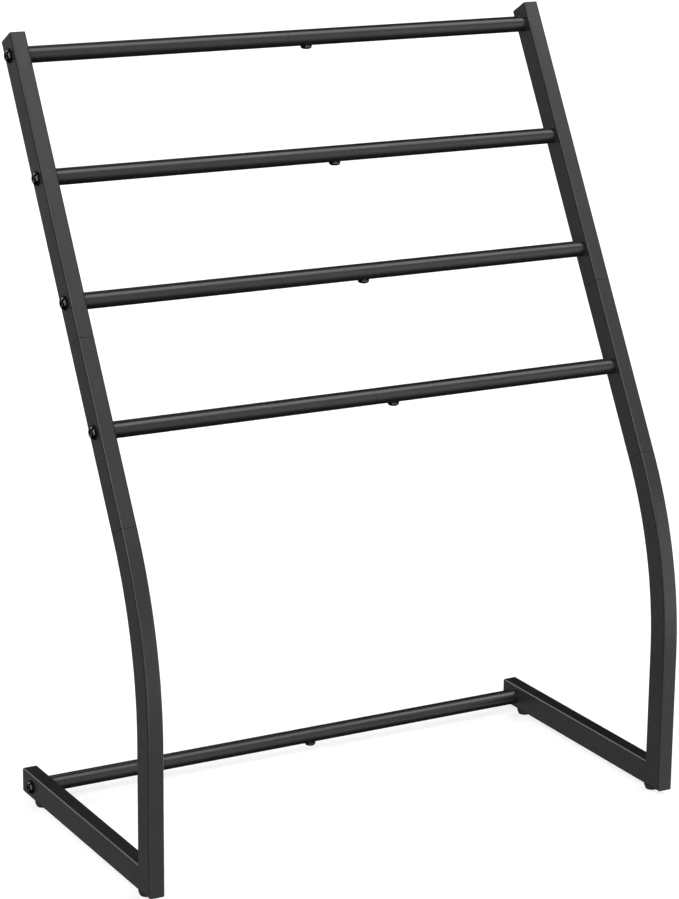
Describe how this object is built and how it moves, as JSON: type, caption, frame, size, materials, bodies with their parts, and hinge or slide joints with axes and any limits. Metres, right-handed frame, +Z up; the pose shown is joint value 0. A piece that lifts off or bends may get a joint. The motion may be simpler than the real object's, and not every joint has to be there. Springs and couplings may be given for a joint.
{
  "type": "blanket and quilt rack",
  "caption": "Free-standing leaning rack of round bars between two bent rectangular-tube side frames, for hanging folded quilts and blankets.",
  "frame": {"origin": "on the floor, in the middle of the rack's width and depth", "axes": "+X along the bars to the rack's right, +Y from the legs to the rear, +Z up"},
  "size_m": [0.5884, 0.3116, 0.7635],
  "materials": {
    "powder_coat": "satin black powder coat with a fine grain",
    "black_hardware": "glossy black coated steel",
    "zinc_steel": "bright zinc plating",
    "black_plastic": "moulded matte black plastic"
  },
  "bodies": {
    "rack": {"bar_1_left_half": "powder_coat", "bar_1_right_half": "powder_coat", "bar_1_sleeve": "zinc_steel", "bar_2_left_half": "powder_coat", "bar_2_right_half": "powder_coat", "bar_2_sleeve": "zinc_steel", "bar_3_left_half": "powder_coat", "bar_3_right_half": "powder_coat", "bar_3_sleeve": "zinc_steel", "bar_4_left_half": "powder_coat", "bar_4_right_half": "powder_coat", "bar_4_sleeve": "zinc_steel", "bar_5_left_half": "powder_coat", "bar_5_right_half": "powder_coat", "bar_5_sleeve": "zinc_steel", "bar_nuts": "zinc_steel", "bar_screws": "black_hardware", "glide_rivet_nuts": "zinc_steel", "left_bar_bolts": "black_hardware", "left_bar_inserts": "zinc_steel", "left_bolt_washers": "black_hardware", "left_foot_rail": "powder_coat", "left_lower_leg": "powder_coat", "left_lower_sleeve": "zinc_steel", "left_middle_upright": "powder_coat", "left_rail_plug": "black_plastic", "left_top_plug": "black_plastic", "left_upper_sleeve": "zinc_steel", "left_upper_upright": "powder_coat", "leg_nuts": "zinc_steel", "leg_screws": "black_hardware", "right_bar_bolts": "black_hardware", "right_bar_inserts": "zinc_steel", "right_bolt_washers": "black_hardware", "right_foot_rail": "powder_coat", "right_lower_leg": "powder_coat", "right_lower_sleeve": "zinc_steel", "right_middle_upright": "powder_coat", "right_rail_plug": "black_plastic", "right_top_plug": "black_plastic", "right_upper_sleeve": "zinc_steel", "right_upper_upright": "powder_coat"},
    "left_front_glide": {"left_front_glide_pad": "black_plastic", "left_front_glide_stud": "zinc_steel"},
    "left_rear_glide": {"left_rear_glide_pad": "black_plastic", "left_rear_glide_stud": "zinc_steel"},
    "right_front_glide": {"right_front_glide_pad": "black_plastic", "right_front_glide_stud": "zinc_steel"},
    "right_rear_glide": {"right_rear_glide_pad": "black_plastic", "right_rear_glide_stud": "zinc_steel"}
  },
  "joints": [
    {"name": "left_front_glide_level", "type": "slide", "parent": "rack", "child": "left_front_glide", "axis": [0, 0, -1], "range_m": [0, 0.006]},
    {"name": "left_rear_glide_level", "type": "slide", "parent": "rack", "child": "left_rear_glide", "axis": [0, 0, -1], "range_m": [0, 0.006]},
    {"name": "right_front_glide_level", "type": "slide", "parent": "rack", "child": "right_front_glide", "axis": [0, 0, -1], "range_m": [0, 0.006]},
    {"name": "right_rear_glide_level", "type": "slide", "parent": "rack", "child": "right_rear_glide", "axis": [0, 0, -1], "range_m": [0, 0.006]}
  ]
}
